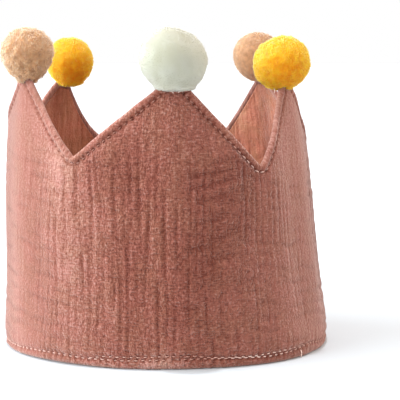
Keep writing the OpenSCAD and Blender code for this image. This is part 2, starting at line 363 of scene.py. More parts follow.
def gauzeRelief(angle, height, side):
    # how far the crinkled cloth stands out, and the painted shade of its creases, with painted light and
    # shade over broad places
    c, seed = crinkle, side["seed"]
    place = along = alongBand(angle)
    for valleyAngle, valleyHeight in band["valleys"][2:4]:
        offset = along - alongBand(valleyAngle)
        reach = np.exp(-np.abs(height - valleyHeight) / c["fanReach"]) * fading(offset, c["fanReach"])
        along = along + c["fanGather"] * offset * reach
    bent = along + c["wander"] * (softNoise(along, height, *c["wanderSize"], seed)
                                  + c["jitter"] * softNoise(along, height, *c["jitterSize"], seed + 1))
    pitch = band["girth"] / c["grooves"]
    mean, varied, least = c["grooveShare"]
    strength = np.clip(mean + varied * softNoise(bent, height, pitch, c["grooveLong"], seed + 2), least, 1)
    calm = np.clip((height - c["calmFrom"]) / c["calmOver"], 0, 1)
    groove = strength * (1 - c["calm"] * calm) * fading(fromNearest(bent, pitch), c["grooveHalf"])
    fine = fading(softNoise(bent, height, *c["fineSize"], seed + 3), c["fineHalf"])
    swell = softNoise(bent, height, *c["swellSize"], seed + 4)
    pucker = softNoise(bent, height, *c["puckerSize"], seed + 5)
    sinking = height + c["crossLean"] * along
    cross = (softNoise(along, sinking, *c["crossSize"], seed + 6)
             + c["broadCross"] * softNoise(along, sinking, *c["broadCrossSize"], seed + 7))
    cross = cross * np.clip(addHumps(c["crossLeast"], creased, angle, height), 0, 1)
    stray = c["stray"] * softNoise(along, height, *c["straySize"], seed + 9)
    crease = creaseDepth(side["creases"], place + stray, height + stray)
    wavy = (height + c["levelSink"] * c["levels"] * along / band["girth"]
            + c["levelWaver"] * softNoise(along, height, *c["levelWaverSize"], seed + 10))
    mean, varied = c["levelShare"]
    level = fading(fromNearest(wavy, c["levels"]), c["levelHalf"]) * np.clip(
        mean + varied * softNoise(along, wavy, c["levelLong"], c["levels"], seed + 11), 0, 1)
    crisp = crispness(angle)
    level = level * (1 - c["levelCalm"] * calm) * (1 + c["levelSmooth"] * (1 - crisp))
    relief = crisp * (c["swell"] * swell + c["pucker"] * pucker + c["cross"] * cross - c["depth"] * groove
                      - c["fine"] * fine) - crease - c["levelDepth"] * level
    # painted shade in grooves and creases, with the painted light and shade of broad places added
    paintedCreaseShade = c["paintedCreaseShade"]
    paintedShade = (crisp * np.clip(groove + paintedCreaseShade["fine"] * fine, 0, 1) + paintedCreaseShade["level"] * level
             + paintedCreaseShade["crease"] * crease)
    return relief, addHumps(paintedShade, side["paintedShadeAndLight"], angle, height)


# Seams: a turned edge, a stitched groove inside it, and the hem

seam = {
    "margin": 3.5,         # from the top edge to its row of stitches
    "underValley": 2.9,    # how far the row passes under a low place
    "valleyHalf": 9.0,     # degrees
    "groove": 0.45,
    "grooveHalf": 0.8,
    "bulge": 0.38,         # how far the cloth puffs up between the edge and the row
    "hemBulge": 0.8,       # the same at the hem, as a share
    "pitch": 3.1,          # from one stitch to the next
    "needle": 0.7,         # reach of the dimple round a needle hole
    "dimple": 0.7,
    "dimpleLeast": 0.15,   # share of the painted shade in the needle holes that is left where the cloth lies smooth
    "gather": 0.26,        # small upright gathers of the cloth along its edges
    "gatherSize": (1.35, 9.0),
    "gatheredHem": 8.0,    # how far they reach from the hem
    "gatheredTop": 4.5,    # and from the top edge
    "topGather": 0.8,
    "pressed": 0.5,        # share of the crinkle that the seams press flat
    "pressedReach": 3.0,
    "deepest": 0.5,        # what is deeper than this bottoms out inside the layer
    "bottom": 0.35,
    "paintedEdgeHighlight": 0.7,           # painted highlight: how much paler the very edge looks, where the turned edge catches the light
    "paintedEdgeHighlightReach": 0.5,
    "wobble": 0.22,        # the edges aren't quite straight
    "quickWobble": 0.5,    # its smaller waves, as a share
    "wobbleSizes": (7.0, 2.3),
    "wobbleSeed": 71,
}
# angle, height of the hem's edge above the surface that the crown stands on
hemLift = [[-180, 0], [-70, 0], [-58, 0.2], [-44, 0.5], [-28, 0.4], [-14, 0], [12, 0.1], [30, 0], [180, 0]]
# angle, height of a row of stitches above the hem's edge
hemRow = [[-180, 3.6], [-80, 3.0], [-60, 3.4], [-44, 4.0], [-36, 3.7], [-27, 3.3], [-22, 3.7], [-16, 3.7],
          [-4, 4.4], [8, 4.7], [20, 4.3], [28, 3.9], [36, 3.4], [46, 3.9], [52, 4.7], [57, 5.3], [66, 4.0],
          [80, 3.6], [180, 3.6]]
hemSecondRow = [[-26, 3.8], [-21, 5.2], [-10, 5.5], [0, 6.1], [9, 5.9], [14, 5.1], [20, 4.6], [28, 4.3],
                [36, 4.7], [46, 5.1], [53, 5.4]]
# angle, how pale the thread of the top row and of the hem's rows looks
topPale = [[-180, 0.3], [-70, 0.2], [-60, 0.15], [-40, 0.2], [-30, 0.3], [-24, 0.1], [20, 0.1], [26, 0.4],
           [31, 0.7], [38, 0.75], [42, 0.5], [50, 0.4], [60, 0.3], [180, 0.3]]
hemPale = [[-180, 0.5], [-85, 0.6], [-60, 0.75], [-50, 0.7], [-35, 0.65], [-22, 0.65], [-15, 0.6], [12, 0.45],
           [18, 0.6], [26, 0.85], [34, 1.0], [46, 0.7], [58, 0.6], [90, 0.5], [180, 0.5]]


def edgeLean(angle):
    # how much longer a drop from the slanted edge is than the distance square to it
    step = 0.4
    run = 2 * alongBand(step)
    slope = (topHeight(turned(angle + step), False) - topHeight(turned(angle - step), False)) / run
    return np.sqrt(1 + slope ** 2)


def edgeWobble(angle):
    along = alongBand(angle)
    slow, quick = (softNoise(along, 0 * along, size, 1, seam["wobbleSeed"] + i)
                   for i, size in enumerate(seam["wobbleSizes"]))
    return seam["wobble"] * (slow + seam["quickWobble"] * quick)


def topRow(angle):
    row = topHeight(angle, False) - seam["margin"] * edgeLean(angle)
    for valleyAngle, valleyHeight in band["valleys"]:
        near = np.abs(turned(angle - valleyAngle)) < seam["valleyHalf"]
        row = np.where(near, np.maximum(row, valleyHeight - seam["underValley"]), row)
    return row


def tableHeight(table, angle):
    rows = np.array(table, float)
    return np.interp(angle, rows[:, 0], rows[:, 1])


def liftHeight(angle):
    return smoothColumn(hemLift, 1, angle)


angleSteps = np.arange(-180, 180, 0.2)
seamLines = {
    "top": (angleSteps, topRow(angleSteps)),
    "hem": (angleSteps, liftHeight(angleSteps) + tableHeight(hemRow, angleSteps)),
}
secondAngles = angleSteps[(angleSteps > hemSecondRow[0][0]) & (angleSteps < hemSecondRow[-1][0])]
seamLines["hemSecond"] = (secondAngles, liftHeight(secondAngles) + tableHeight(hemSecondRow, secondAngles))


def nearness(points):
    tree = kdtree.KDTree(len(points))
    for i, p in enumerate(points):
        tree.insert(p, i)
    tree.balance()
    return lambda where: np.array([tree.find(p)[2] for p in where.reshape(-1, 3)]).reshape(where.shape[:-1])


def evenlySpaced(line, pitch):
    # angles and heights of points one pitch apart along a line on the wall
    angles, heights = line
    points = wallPoint(angles, heights)[0]
    run = np.concatenate([[0], np.cumsum(np.linalg.norm(np.diff(points, axis=0), axis=1))])
    count = max(2, round(run[-1] / pitch))
    at = np.linspace(0, run[-1], count + 1)
    return np.interp(at, run, angles), np.interp(at, run, heights)


needles = {name: evenlySpaced(line, seam["pitch"]) for name, line in seamLines.items()}
toEdge = nearness(wallPoint(angleSteps, topHeight(angleSteps, False))[0])
toTopRow = nearness(wallPoint(*seamLines["top"])[0])
toHemRow = nearness(np.concatenate([wallPoint(*seamLines[n])[0] for n in ("hem", "hemSecond")]))
toNeedle = nearness(np.concatenate([wallPoint(*needles[n])[0] for n in needles]))


def clothRelief(angle, height):
    # the outer cloth's relief, the painted shade of its creases less a painted highlight along the edge, and
    # the painted shade of each place by how near a needle hole it lies
    s = seam
    flat = wallPoint(angle, height)[0]
    relief, groove = gauzeRelief(angle, height, outerSide)
    edge, top, hem, needle = toEdge(flat), toTopRow(flat), toHemRow(flat), toNeedle(flat)
    aboveHem = height - liftHeight(angle)
    stitched = fading(np.minimum(top, hem), s["grooveHalf"])
    topBand = np.sin(np.pi * np.clip(edge / s["margin"], 0, 1)) * (height > topRow(angle))
    hemBand = np.sin(np.pi * np.clip(aboveHem / tableHeight(hemRow, angle), 0, 1))
    calm = 1 - s["pressed"] * fading(np.minimum(edge, aboveHem), s["pressedReach"])
    dimple = fading(needle, s["needle"])
    gather = softNoise(alongBand(angle), height, *s["gatherSize"], outerSide["seed"] + 8) * (
        fading(aboveHem, s["gatheredHem"]) + s["topGather"] * fading(edge, s["gatheredTop"]))
    relief = (relief * calm + s["bulge"] * (topBand + s["hemBulge"] * hemBand) + s["gather"] * gather
              - s["groove"] * stitched - s["dimple"] * dimple)
    past, bottom = relief + s["deepest"], s["bottom"]
    relief = np.where(past < 0, bottom * np.tanh(past / bottom) - s["deepest"], relief)
    # painted highlight along the very edge
    paintedEdgeHighlight = s["paintedEdgeHighlight"] * fading(edge, s["paintedEdgeHighlightReach"])
    # painted shade in the needle holes, fainter where the cloth lies smooth
    seen = s["dimpleLeast"] + (1 - s["dimpleLeast"]) * crispness(angle)
    return relief, groove * calm - paintedEdgeHighlight, dimple * seen


# Cloth pieces

cloth = {
    "columnStep": 0.5,
    "backColumnStep": 0.95,
    "middleRows": 90,
    "edgeZone": 8.0,       # rows lie closer together in this zone along both edges
    "edgeRows": 12,
    "roundRows": 4,        # rows over a turned edge
    "hiddenRows": 12,      # rows of the sides that face each other between the two layers
    "hiddenFrom": 0.94,    # share of the height that they start at, and as far from the other end
    "hiddenStep": 0.6,     # how far the pattern moves on from one hidden row to the next
    "liningColumnStep": 0.85,
    "liningRows": 78,
    "tuck": 1.6,           # how far the turned edge reaches down inside
    "tuckGap": 0.05,       # between what is turned in and the cloth's own back
    "liningBack": 1.25,    # from the edge to the lining's own edge
    "liningFlat": 2.0,     # the lining's crinkle starts this far from its edges
    "mostLean": 1.5,       # most that a slanted edge stretches what runs beside it
}


def columnAngles(step, backStep):
    # every low place and both ends of every cut tip have a column of their own
    frontFrom, frontTo = band["valleys"][1][0], band["valleys"][4][0]
    stops = [-180.0]
    for k, (tipAngle, tip, bowLeft, bowRight, cutHeight) in enumerate(band["points"]):
        stops.append(band["valleys"][k][0])
        for (valleyAngle, valleyHeight), bow in zip(band["valleys"][k:k + 2], (bowLeft, bowRight)):
            share = ((cutHeight - valleyHeight) / (tip - valleyHeight)) ** (1 / bow)
            stops.append(valleyAngle + (tipAngle - valleyAngle) * share)
    stops += [band["valleys"][-1][0], 180.0]
    angles = []
    for a, b in zip(stops[:-1], stops[1:]):
        here = step if a >= frontFrom and b <= frontTo else backStep
        angles.append(np.linspace(a, b, max(2, round(alongBand(b - a) / here)), endpoint=False))
    return np.concatenate(angles)


def rowHeights(middle, low, high):
    # rows close together in the zones at both ends, and this many between them
    zone, count = cloth["edgeZone"], cloth["edgeRows"]
    steps = [(zone * i / count, 0) for i in range(count)]
    steps += [(zone, i / middle) for i in range(middle)]
    steps += [(zone + zone * i / count, 1) for i in range(count + 1)]
    up, share = np.array(steps).T
    return low[:, None] + up + share * (high - low - 2 * zone)[:, None]


def ringMesh(name, points, u, v, values):
    # a closed wall from a grid of columns round the band and rows round the wall's own section
    columns, rows = points.shape[:2]
    c, r = np.meshgrid(np.arange(columns), np.arange(rows), indexing="ij")
    nextC, nextR = (c + 1) % columns, (r + 1) % rows
    quads = np.stack([c * rows + r, nextC * rows + r, nextC * rows + nextR, c * rows + nextR], -1)
    mesh = newMesh(name, points.reshape(-1, 3), quads.reshape(-1, 4).tolist())
    uEnd = np.where(nextC == 0, u[-1] + (u[1] - u[0]), u[nextC])
    vEnd = np.where(nextR == 0, v[:, -1][c], np.take_along_axis(v, nextR, 1))
    vNextHigh = np.where(nextR == 0, v[:, -1][nextC], v[nextC, nextR])
    corners = np.stack([np.stack([u[c], v[c, r]], -1), np.stack([uEnd, v[nextC, r]], -1),
                        np.stack([uEnd, vNextHigh], -1), np.stack([u[c], vEnd], -1)], -2)
    layer = mesh.uv_layers.new(name="cloth")
    layer.data.foreach_set("uv", (corners.reshape(-1, 2) * mm).astype(np.float32).ravel())
    for key, value in values.items():
        setPointValues(mesh, key, value)
    mesh.update()
    return mesh


def clothPiece(name, angles, rows, rowV, values):
    # each of the values is given for the shown rows, which come first, and then for the hidden ones
    whole = {}
    for key, (shown, rest) in values.items():
        hidden = np.full((len(angles), len(rows) - shown.shape[1]), rest)
        whole[key] = np.concatenate([shown, hidden], 1)
    return newObject(name, ringMesh(name, np.stack(rows, 1), alongBand(angles), np.stack(rowV, 1), whole))


def makeOuterCloth():
    thick, layer, tuck, gap = 2 * band["layer"] + band["gap"], band["layer"], cloth["tuck"], cloth["tuckGap"]
    angles = columnAngles(cloth["columnStep"], cloth["backColumnStep"])
    lean = np.minimum(edgeLean(angles), cloth["mostLean"])
    roundness = thick / 2
    low = liftHeight(angles) + roundness
    high = topHeight(angles) + edgeWobble(angles) - roundness * lean
    heights = rowHeights(cloth["middleRows"], low, high)
    angleGrid = np.repeat(angles[:, None], heights.shape[1], 1)
    relief, groove, needle = clothRelief(angleGrid, heights)
    rows = list(wallPoint(angleGrid, heights, relief)[0].swapaxes(0, 1))
    rowV = list(heights.T)

    def addRow(depth, height, proud=0):
        rows.append(wallPoint(angles, height, proud - depth)[0])
        rowV.append(rowV[-1] + cloth["hiddenStep"])

    count = cloth["roundRows"]
    for i in range(1, count + 1):
        t = math.pi * i / count
        addRow(roundness * (1 - math.cos(t)), high + roundness * lean * math.sin(t),
               relief[:, -1] * (1 - i / count))
    addRow(thick, high - tuck * lean)
    addRow(layer + gap, high - tuck * lean)
    for share in np.linspace(cloth["hiddenFrom"], 1 - cloth["hiddenFrom"], cloth["hiddenRows"]):
        addRow(layer, low + (high - low) * share)
    addRow(layer + gap, low + tuck)
    addRow(thick, low + tuck)
    for i in range(count):
        t = math.pi * i / count
        addRow(roundness * (1 + math.cos(t)), low - roundness * math.sin(t), relief[:, 0] * i / count)
    return clothPiece("outer_cloth", angles, rows, rowV, {
        "groove": (groove, -seam["paintedEdgeHighlight"]), "needle": (needle, 0),
        "crisp": (crispness(angleGrid), crispness(angles)[:, None])})


def makeLiningCloth():
    outerDepth = band["layer"] + band["gap"]
    back = cloth["liningBack"] + cloth["tuck"]
    angles = columnAngles(cloth["liningColumnStep"], cloth["liningColumnStep"])
    low = liftHeight(angles) + back
    high = topHeight(angles) - back * np.minimum(edgeLean(angles), cloth["mostLean"])
    heights = rowHeights(cloth["liningRows"], low, high)
    angleGrid = np.repeat(angles[:, None], heights.shape[1], 1)
    relief, groove = gauzeRelief(angleGrid, heights, liningSide)
    fromEnds = np.minimum(heights - low[:, None], high[:, None] - heights)
    depth = outerDepth + band["layer"] + relief * (1 - fading(fromEnds, cloth["liningFlat"]))
    rows = list(wallPoint(angleGrid, heights, -depth)[0].swapaxes(0, 1))[::-1]
    rowV = list(heights.T)[::-1]
    for share in np.linspace(0, 1, cloth["hiddenRows"]):
        rows.append(wallPoint(angles, low + (high - low) * share, -outerDepth)[0])
        rowV.append(rowV[-1] + cloth["hiddenStep"])
    return clothPiece("lining_cloth", angles, rows, rowV, {
        "groove": (groove[:, ::-1], 0), "needle": (0 * groove, 0), "crisp": (0 * groove + 1, 1)})


outerCloth = makeOuterCloth()
liningCloth = makeLiningCloth()
print("cloth made", len(outerCloth.data.polygons), len(liningCloth.data.polygons))


# Materials

def newMaterial(name):
    material = bpy.data.materials.new(name)
    material.use_nodes = True
    tree = material.node_tree
    tree.nodes.clear()
    return material, tree


def evenStops(colours):
    return [(0, colours["deep"]), (0.5, colours["base"]), (1, colours["light"])]


def weightedSum(tree, start, parts):
    total = start
    for value, weight in parts:
        total = addNode(tree, "ShaderNodeMath", {0: value, 1: weight, 2: total}, operation="MULTIPLY_ADD")
    return total


gauzePatterns = {
    # width and height in millimetres of what is drawn, and its detail
    "crepe": (0.8, 1.25, 1.0),         # curled threads, drawn coarser than their 0.4 mm to show
    "weft": (2.2, 0.7, 1.0),           # cross threads
    "slub": (1.3, 10.0, 1.0),          # uneven long threads
    "cloud": (26.0, 34.0, 1.0),        # uneven dye
    "dye": (9.0, 12.0, 2.0),           # its hue
}
gauzeRaised = {"crepe": 1.0, "weft": 0.8, "slub": 0.4}     # how far each stands out


def makeGauze(name, colours, settings):
    # cotton double gauze, piece dyed: soft matt crinkled cloth whose loose threads catch side light
    material, tree = newMaterial(name)
    uv = addNode(tree, "ShaderNodeUVMap", uv_map="cloth")

    def drawn(wide, high, detail):
        placed = addNode(tree, "ShaderNodeMapping", {
            "Vector": uv, "Scale": (1 / (wide * mm), 1 / (high * mm), 1)})
        return addNode(tree, "ShaderNodeTexNoise", {"Vector": placed, "Scale": 1.0, "Detail": detail},
                       noise_dimensions="2D")

    textures = {key: drawn(*sizes) for key, sizes in gauzePatterns.items()}
    groove, needle, crisp = (addNode(tree, "ShaderNodeAttribute", attribute_name=key).outputs["Fac"]
                             for key in ("groove", "needle", "crisp"))
    threads = ("crepe", "weft", "slub", "cloud")
    middle = -0.5 * sum(settings[key] for key in threads)
    mixed = weightedSum(tree, middle, [(textures[key], settings[key]) for key in threads])
    least = settings["clearLeast"]
    clear = weightedSum(tree, least, [(crisp, 1 - least)])
    drawing = addNode(tree, "ShaderNodeMath", {0: mixed, 1: clear}, operation="MULTIPLY")
    # painted shade in grooves, creases and needle holes, painted light and shade over broad places and a
    # painted highlight on the edge all come in through the groove and needle attributes
    tone = weightedSum(tree, settings["tone"], [
        (drawing, 1.0), (groove, -settings["groove"]), (needle, -settings["needle"])])
    evenly = addNode(tree, "ShaderNodeValToRGB", {"Fac": tone}, evenStops(colours))
    dye = addNode(tree, "ShaderNodeValToRGB", {"Fac": textures["dye"]},
                  [(0.35, "#FFFFFF"), (0.65, colours["dye"])])
    dyed = addNode(tree, "ShaderNodeMix", {"Factor": 1.0, 6: evenly, 7: dye},
                   data_type="RGBA", blend_type="MULTIPLY").outputs[2]
    # painted sheen: the colour is mixed towards pale pink where the cloth lies smooth, for the light grazing
    # the sides
    paintedSheen = weightedSum(tree, settings["paintedSheen"], [(crisp, -settings["paintedSheen"])])
    colour = addNode(tree, "ShaderNodeMix", {"Factor": paintedSheen, 6: dyed, 7: linearColour(colours["paintedSheen"])},
                     data_type="RGBA").outputs[2]
    height = weightedSum(tree, 0.0, [(textures[key], share) for key, share in gauzeRaised.items()])
    strength = addNode(tree, "ShaderNodeMath", {0: clear, 1: settings["bump"]}, operation="MULTIPLY")
    bump = addNode(tree, "ShaderNodeBump", {
        "Height": height, "Strength": strength, "Distance": settings["relief"] * mm})
    shader = addNode(tree, "ShaderNodeBsdfPrincipled", {
        "Base Color": colour, "Roughness": 0.92, "Normal": bump, "Specular IOR Level": 0.2,
        "Sheen Weight": settings["sheen"], "Sheen Roughness": 0.5,
        "Sheen Tint": linearColour(colours["sheen"])})
    addNode(tree, "ShaderNodeOutputMaterial", {"Surface": shader})
    return material


gauzeSettings = {
    "tone": 0.555,
    "crepe": 0.7,
    "weft": 0.8,
    "slub": 0.25,
    "cloud": 0.16,
    "clearLeast": 0.15,    # how clear the threads are where the cloth lies smooth
    "groove": 0.26,        # painted shade: how much darker a groove or crease is, and how strongly the other painted light and shade show
    "needle": 1.1,         # and a needle hole, painted shade
    "bump": 1.0,
    "relief": 0.8,
    "sheen": 0.55,
    "paintedSheen": 0.06,
}
outerGauze = makeGauze("cotton_gauze_outside", {
    "deep": "#622516", "base": "#8F5142", "light": "#BC877C", "sheen": "#FFE2D8", "dye": "#F8FFF5",
    "paintedSheen": "#E6CABE"}, gauzeSettings)
# painted light: the lining is the same cloth as the outside, drawn in paler colours for the light bounced
# round inside the crown
liningGauze = makeGauze("cotton_gauze_lining", {
    "deep": "#84452F", "base": "#BA725A", "light": "#D4957B", "sheen": "#FFF0E8", "dye": "#F2FFF2",
    "paintedSheen": "#E6CABE"}, dict(gauzeSettings, crepe=0.2, weft=0.16, slub=0.3, groove=0.4, relief=0.3, paintedSheen=0))


def makeYarn(name, colours, settings):
    # trimmed wool and acrylic yarn: countless soft cut ends that let light through, matt
    material, tree = newMaterial(name)
    place = addNode(tree, "ShaderNodeTexCoord").outputs["Object"]
    cloud = addNode(tree, "ShaderNodeTexNoise", {
        "Vector": place, "Scale": 1 / (settings["cloudSize"] * mm), "Detail": 3.0})
    # light goes further through the bound head than through one end
    along, tint, toneAndPaintedShade, scatter = (
        addNode(tree, "ShaderNodeAttribute", attribute_name=key).outputs["Fac"]
        for key in ("alongYarn", "yarnTint", "toneAndPaintedShade", "scatter"))
    # painted shade: the roots of the ends and one side of each pompom are drawn darker
    middle = settings["tone"] - 0.5 * settings["tint"] - 0.5 * settings["cloud"] - settings["along"]
    tone = weightedSum(tree, middle, [
        (along, settings["along"]), (tint, settings["tint"]), (cloud, settings["cloud"]),
        (toneAndPaintedShade, -settings["toneAndPaintedShade"])])
    colour = addNode(tree, "ShaderNodeValToRGB", {"Fac": tone}, evenStops(colours))
    shader = addNode(tree, "ShaderNodeBsdfPrincipled", {
        "Base Color": colour, "Roughness": 0.9, "Specular IOR Level": 0.1, "Subsurface Weight": 1.0,
        "Subsurface Radius": (1, 1, 1), "Subsurface Scale": scatter})
    addNode(tree, "ShaderNodeOutputMaterial", {"Surface": shader})
    return material


yarnSettings = {
    "tone": 0.62,
    "along": 0.1,          # how much paler an end is at its tip, with painted shade at its root among the other ends
    "tint": 0.07,          # how much the ends differ
    "cloud": 0.3,
    "cloudSize": 4.0,
    # how strongly a pompom's darker tone and the painted shade on one side show
    "toneAndPaintedShade": 0.3,
}
yarns = {
    "yarn_cream": makeYarn(
        "wool_yarn_cream", {"deep": "#A19B7A", "base": "#B1AF9C", "light": "#BEBEB4"},
        dict(yarnSettings, cloud=0.5, cloudSize=7.0, toneAndPaintedShade=-0.1)),
    "yarn_tan": makeYarn(
        "wool_yarn_tan", {"deep": "#AE8462", "base": "#D6A67C", "light": "#DCBC9A"},
        dict(yarnSettings, cloud=1.1, cloudSize=2.3, toneAndPaintedShade=0.2, tint=0.12)),
    "yarn_yellow": makeYarn(
        "wool_yarn_yellow", {"deep": "#E88C18", "base": "#F0B826", "light": "#F4AE44"},
        dict(yarnSettings, cloud=1.0, cloudSize=2.3, toneAndPaintedShade=0.45, tint=0.1)),
}


def makeThread(name, colours):
    # spun polyester sewing thread: a faint twist and a soft shine
    material, tree = newMaterial(name)
    place = addNode(tree, "ShaderNodeTexCoord").outputs["Object"]
    twist = addNode(tree, "ShaderNodeTexNoise", {"Vector": place, "Scale": 1 / (0.35 * mm)})
    pale = addNode(tree, "ShaderNodeAttribute", attribute_name="pale").outputs["Fac"]
    tone = weightedSum(tree, -0.2, [(twist, 0.4), (pale, 1.0)])
    colour = addNode(tree, "ShaderNodeValToRGB", {"Fac": tone}, evenStops(colours))
    bump = addNode(tree, "ShaderNodeBump", {"Height": twist, "Strength": 0.4, "Distance": 0.1 * mm})
    shader = addNode(tree, "ShaderNodeBsdfPrincipled", {
        "Base Color": colour, "Roughness": 0.55, "Normal": bump})
    addNode(tree, "ShaderNodeOutputMaterial", {"Surface": shader})
    return material


seamThread = makeThread("sewing_thread_rose", {"deep": "#8E5A4A", "base": "#B98474", "light": "#EBCDC0"})
print("materials made")


# Geometry Nodes

def newNodeTree(name, inputs):
    tree = bpy.data.node_groups.new(name, "GeometryNodeTree")
    tree.interface.new_socket("Geometry", in_out="INPUT", socket_type="NodeSocketGeometry")
    for label, kind in inputs.items():
        tree.interface.new_socket(label, in_out="INPUT", socket_type="NodeSocket" + kind)
    tree.interface.new_socket("Geometry", in_out="OUTPUT", socket_type="NodeSocketGeometry")
    return tree, addNode(tree, "NodeGroupInput").outputs


def turnAtRandom(tree, rotation, most, seed):
    # turns each copy round its own axes by up to this many radians either way
    turn = addNode(tree, "FunctionNodeRandomValue", {
        0: [-m for m in most], 1: most, "Seed": seed}, data_type="FLOAT_VECTOR")
    turnBy = addNode(tree, "FunctionNodeEulerToRotation", {0: turn})
    return addNode(tree, "FunctionNodeRotateRotation", {"Rotation": rotation, "Rotate By": turnBy},
                   rotation_space="LOCAL")


def runNodes(piece, tree, values):
    # gives the tree its inputs, keeps the result as a plain mesh and takes the modifier off
    modifier = piece.modifiers.new("nodes", "NODES")
    modifier.node_group = tree
    for item in tree.interface.items_tree:
        if item.in_out == "INPUT" and item.name in values:
            modifier[item.identifier] = values[item.name]
    graph = bpy.context.evaluated_depsgraph_get()
    made = bpy.data.meshes.new_from_object(piece.evaluated_get(graph))
    piece.modifiers.remove(modifier)
    piece.data = made
    return piece


stitching = {
    "length": 2.1,         # a stitch as it lies on the cloth
    "thread": 0.57,        # width of the fluffy thread, pressed flat
    "flat": 0.62,          # its thickness as a share of its width
    "taper": 0.5,
    "arch": 0.5,           # how far its middle stands above its ends
    "sunk": 0.35,          # share of the arch that lies in the cloth
    "sides": 6,
    "rings": 5,
    "stray": (0.10, 0.10, 0.16),   # radians
    "sizes": (0.88, 1.08),
    "pathStep": 0.6,
    "seed": 5,
}


def stitchTree():
    # one stitch at every step along a path whose points know the direction out of the cloth
    tree, given = newNodeTree("stitches", {
        "Stitch": "Object", "Pitch": "Float", "Seed": "Int", "Thread": "Material"})
    path = addNode(tree, "GeometryNodeMeshToCurve", {"Mesh": given["Geometry"]})
    even = addNode(tree, "GeometryNodeResampleCurve", {"Curve": path, "Length": given["Pitch"]},
                   mode="LENGTH")
    stitch = addNode(tree, "GeometryNodeObjectInfo", {"Object": given["Stitch"]})
    tangent = addNode(tree, "GeometryNodeInputTangent")
    outward = addNode(tree, "GeometryNodeInputNamedAttribute", {"Name": "outward"},
                      data_type="FLOAT_VECTOR")
    along = addNode(tree, "FunctionNodeAlignRotationToVector", {"Vector": tangent}, axis="X")
    upright = addNode(tree, "FunctionNodeAlignRotationToVector", {"Rotation": along, "Vector": outward},
                      axis="Z", pivot_axis="X")
    strayed = turnAtRandom(tree, upright, stitching["stray"], given["Seed"])
    least, most = stitching["sizes"]
    size = addNode(tree, "FunctionNodeRandomValue", {2: least, 3: most, "Seed": given["Seed"]},
                   data_type="FLOAT").outputs[1]
    placed = addNode(tree, "GeometryNodeInstanceOnPoints", {
        "Points": even, "Instance": stitch.outputs["Geometry"], "Rotation": strayed, "Scale": size})
    real = addNode(tree, "GeometryNodeRealizeInstances", {"Geometry": placed})
    threaded = addNode(tree, "GeometryNodeSetMaterial", {"Geometry": real, "Material": given["Thread"]})
    addNode(tree, "NodeGroupOutput", {"Geometry": threaded})
    return tree


def circleSteps(count):
    return [2 * math.pi * i / count for i in range(count)]


def tubeFaces(rings, sides, start=0):
    # the wall and both ends of a closed tube of rings
    faces = []
    for k in range(rings - 1):
        low = start + k * sides
        for i in range(sides):
            j = (i + 1) % sides
            faces.append((low + i, low + sides + i, low + sides + j, low + j))
    last = start + rings * sides - 1
    return faces + [tuple(range(start, start + sides)), tuple(last - i for i in range(sides))]


def makeStitch():
    s = stitching
    verts = []
    for p in np.linspace(-1, 1, s["rings"]):
        radius = s["thread"] / 2 * (1 - s["taper"] * p * p)
        middle = s["arch"] * (1 - p * p - s["sunk"])
        verts += [(p * s["length"] / 2, radius * math.cos(a), middle + s["flat"] * radius * math.sin(a))
                  for a in circleSteps(s["sides"])]
    return newObject("stitch", newMesh("stitch", verts, tubeFaces(s["rings"], s["sides"])))


def seamPath(name, line, pale):
    angles, heights = evenlySpaced(line, stitching["pathStep"])
    relief = clothRelief(angles, heights)[0]
    points, out = wallPoint(angles, heights, relief)
    mesh = newMesh(name, points, [], [(i, i + 1) for i in range(len(points) - 1)])
    layer = mesh.attributes.new("outward", "FLOAT_VECTOR", "POINT")
    layer.data.foreach_set("vector", out.astype(np.float32).ravel())
    setPointValues(mesh, "pale", tableHeight(pale, angles))
    return newObject(name, mesh)


stitchShape = makeStitch()
stitchNodes = stitchTree()
stitchRows = []
for number, (name, line) in enumerate(seamLines.items()):
    row = seamPath("stitches_" + name, line, topPale if name == "top" else hemPale)
    stitchRows.append(runNodes(row, stitchNodes, {
        "Stitch": stitchShape, "Pitch": seam["pitch"] * mm, "Seed": stitching["seed"] + number,
        "Thread": seamThread}))
bpy.data.objects.remove(stitchShape)

threadTails = {
    # points from the top down; each loose end hangs clear of the cloth
    "ends": [[(2.4, -61.9, 121.8), (3.0, -62.5, 120.6), (2.4, -62.8, 119.6), (3.3, -62.9, 118.7)],
             [(4.6, -61.9, 121.8), (5.0, -62.5, 120.6), (5.7, -62.8, 119.7), (5.3, -62.8, 119.0)],
             [(48.6, -31.4, 121.6), (48.3, -31.6, 120.0), (48.5, -31.6, 119.0), (48.4, -31.5, 118.0)],
             [(60.1, -41.6, 3.6), (60.4, -42.1, 2.4), (60.2, -42.3, 1.4), (60.4, -42.2, 0.5)]],
    "thick": 0.5,
    "sides": 6,
    "pale": 1.1,
}


def makeThreadTails():
    t = threadTails
    radius = t["thick"] / 2
    verts, faces = [], []
    for end in t["ends"]:
        faces += tubeFaces(len(end), t["sides"], len(verts))
        verts += [(x + radius * math.cos(a), y + radius * math.sin(a), z)
                  for x, y, z in end for a in circleSteps(t["sides"])]
    mesh = newMesh("thread_tails", verts, faces)
    mesh.materials.append(seamThread)
    setPointValues(mesh, "pale", t["pale"])
    return newObject("thread_tails", mesh)


stitchRows.append(makeThreadTails())
print("stitches made", [len(r.data.polygons) for r in stitchRows])


# Pompoms

